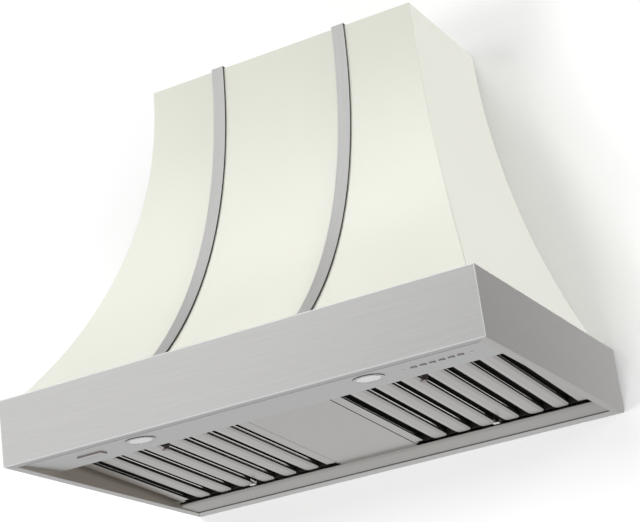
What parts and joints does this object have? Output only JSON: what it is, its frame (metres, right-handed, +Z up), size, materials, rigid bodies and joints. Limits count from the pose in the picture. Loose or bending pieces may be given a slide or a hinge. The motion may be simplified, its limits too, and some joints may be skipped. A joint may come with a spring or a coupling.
{
  "type": "range hood",
  "caption": "Wall-mounted range hood with a flared painted canopy, brushed steel band and straps, baffle filters, lamps, push buttons and a blower inside.",
  "frame": {"origin": "on the wall plane, in the middle of the hood, level with its bottom lip", "axes": "+X to the right seen from the cook, +Y into the wall, +Z up"},
  "size_m": [0.9144, 0.656, 0.812],
  "materials": {
    "canopy_paint": "satin ivory powder coat",
    "band_steel": "brushed along its length",
    "liner_steel": "brushed",
    "galvanised": "zinc coated sheet",
    "aluminium": "plain",
    "lens_glass": "frosted",
    "lamp_rim": "polished",
    "button_plastic": "metallic grey",
    "black_plastic": "moulded",
    "circuit_board": "solder mask",
    "motor_paint": "black enamel",
    "bright_steel": "ground"
  },
  "bodies": {
    "hood": {"canopy_front": "canopy_paint", "canopy_side_left": "canopy_paint", "canopy_side_right": "canopy_paint", "canopy_top": "canopy_paint", "back_plate": "galvanised", "strap_left": "band_steel", "strap_right": "band_steel", "band_front": "band_steel", "band_side_left": "band_steel", "band_side_right": "band_steel", "band_rear": "band_steel", "control_panel": "liner_steel", "liner_side_left": "liner_steel", "liner_side_right": "liner_steel", "liner_top": "liner_steel", "centre_panel": "liner_steel", "grease_rail": "liner_steel", "filter_catches": "liner_steel", "lamp_left_rim": "lamp_rim", "lamp_left_lens": "lens_glass", "lamp_left_body": "aluminium", "lamp_right_rim": "lamp_rim", "lamp_right_lens": "lens_glass", "lamp_right_body": "aluminium", "button_guide": "black_plastic", "control_board": "circuit_board", "control_cover": "black_plastic", "panel_screws": "liner_steel", "blank_plate": "liner_steel", "blower_box": "galvanised", "scroll_housing": "galvanised", "motor": "motor_paint", "motor_bracket": "motor_paint", "duct_pipe": "galvanised", "duct_collar": "galvanised", "damper_pin": "bright_steel", "junction_box": "galvanised", "junction_lid": "galvanised", "led_driver": "aluminium", "cable_gland": "black_plastic"},
    "filter_left": {"filter_left_frame": "liner_steel", "filter_left_lower_baffles": "liner_steel", "filter_left_upper_baffles": "liner_steel", "filter_left_fittings": "liner_steel"},
    "filter_right": {"filter_right_frame": "liner_steel", "filter_right_lower_baffles": "liner_steel", "filter_right_upper_baffles": "liner_steel", "filter_right_fittings": "liner_steel"},
    "power_button": {"power_button": "button_plastic"},
    "low_button": {"low_button": "button_plastic"},
    "medium_button": {"medium_button": "button_plastic"},
    "high_button": {"high_button": "button_plastic"},
    "boost_button": {"boost_button": "button_plastic"},
    "light_button": {"light_button": "button_plastic"},
    "blower_wheel": {"wheel_disc": "aluminium", "wheel_vanes": "aluminium", "wheel_rings": "aluminium", "motor_shaft": "bright_steel"},
    "damper_front": {"damper_flap_front": "aluminium"},
    "damper_rear": {"damper_flap_rear": "aluminium"}
  },
  "joints": [
    {"name": "filter_left_drop", "type": "hinge", "parent": "hood", "child": "filter_left", "pos_m": [-0.25625, -0.104, 0.0142], "axis": [1, 0, 0], "range_deg": [0, 60]},
    {"name": "filter_right_drop", "type": "hinge", "parent": "hood", "child": "filter_right", "pos_m": [0.25625, -0.104, 0.0142], "axis": [1, 0, 0], "range_deg": [0, 60]},
    {"name": "power_button_press", "type": "slide", "parent": "hood", "child": "power_button", "axis": [0, -0.0568, 0.9984], "range_m": [0, 0.0015], "stiffness_N_per_m": 1300, "springref_m": -0.0005},
    {"name": "low_button_press", "type": "slide", "parent": "hood", "child": "low_button", "axis": [0, -0.0568, 0.9984], "range_m": [0, 0.0015], "stiffness_N_per_m": 1300, "springref_m": -0.0005},
    {"name": "medium_button_press", "type": "slide", "parent": "hood", "child": "medium_button", "axis": [0, -0.0568, 0.9984], "range_m": [0, 0.0015], "stiffness_N_per_m": 1300, "springref_m": -0.0005},
    {"name": "high_button_press", "type": "slide", "parent": "hood", "child": "high_button", "axis": [0, -0.0568, 0.9984], "range_m": [0, 0.0015], "stiffness_N_per_m": 1300, "springref_m": -0.0005},
    {"name": "boost_button_press", "type": "slide", "parent": "hood", "child": "boost_button", "axis": [0, -0.0568, 0.9984], "range_m": [0, 0.0015], "stiffness_N_per_m": 1300, "springref_m": -0.0005},
    {"name": "light_button_press", "type": "slide", "parent": "hood", "child": "light_button", "axis": [0, -0.0568, 0.9984], "range_m": [0, 0.0015], "stiffness_N_per_m": 1300, "springref_m": -0.0005},
    {"name": "blower_wheel_spin", "type": "hinge", "parent": "hood", "child": "blower_wheel", "pos_m": [0, -0.2215, 0.278], "axis": [1, 0, 0], "continuous": true},
    {"name": "damper_front_swing", "type": "hinge", "parent": "hood", "child": "damper_front", "pos_m": [0, -0.1515, 0.794], "axis": [-1, 0, 0], "range_deg": [0, 80]},
    {"name": "damper_rear_swing", "type": "hinge", "parent": "hood", "child": "damper_rear", "pos_m": [0, -0.1515, 0.794], "axis": [1, 0, 0], "range_deg": [0, 80]}
  ]
}
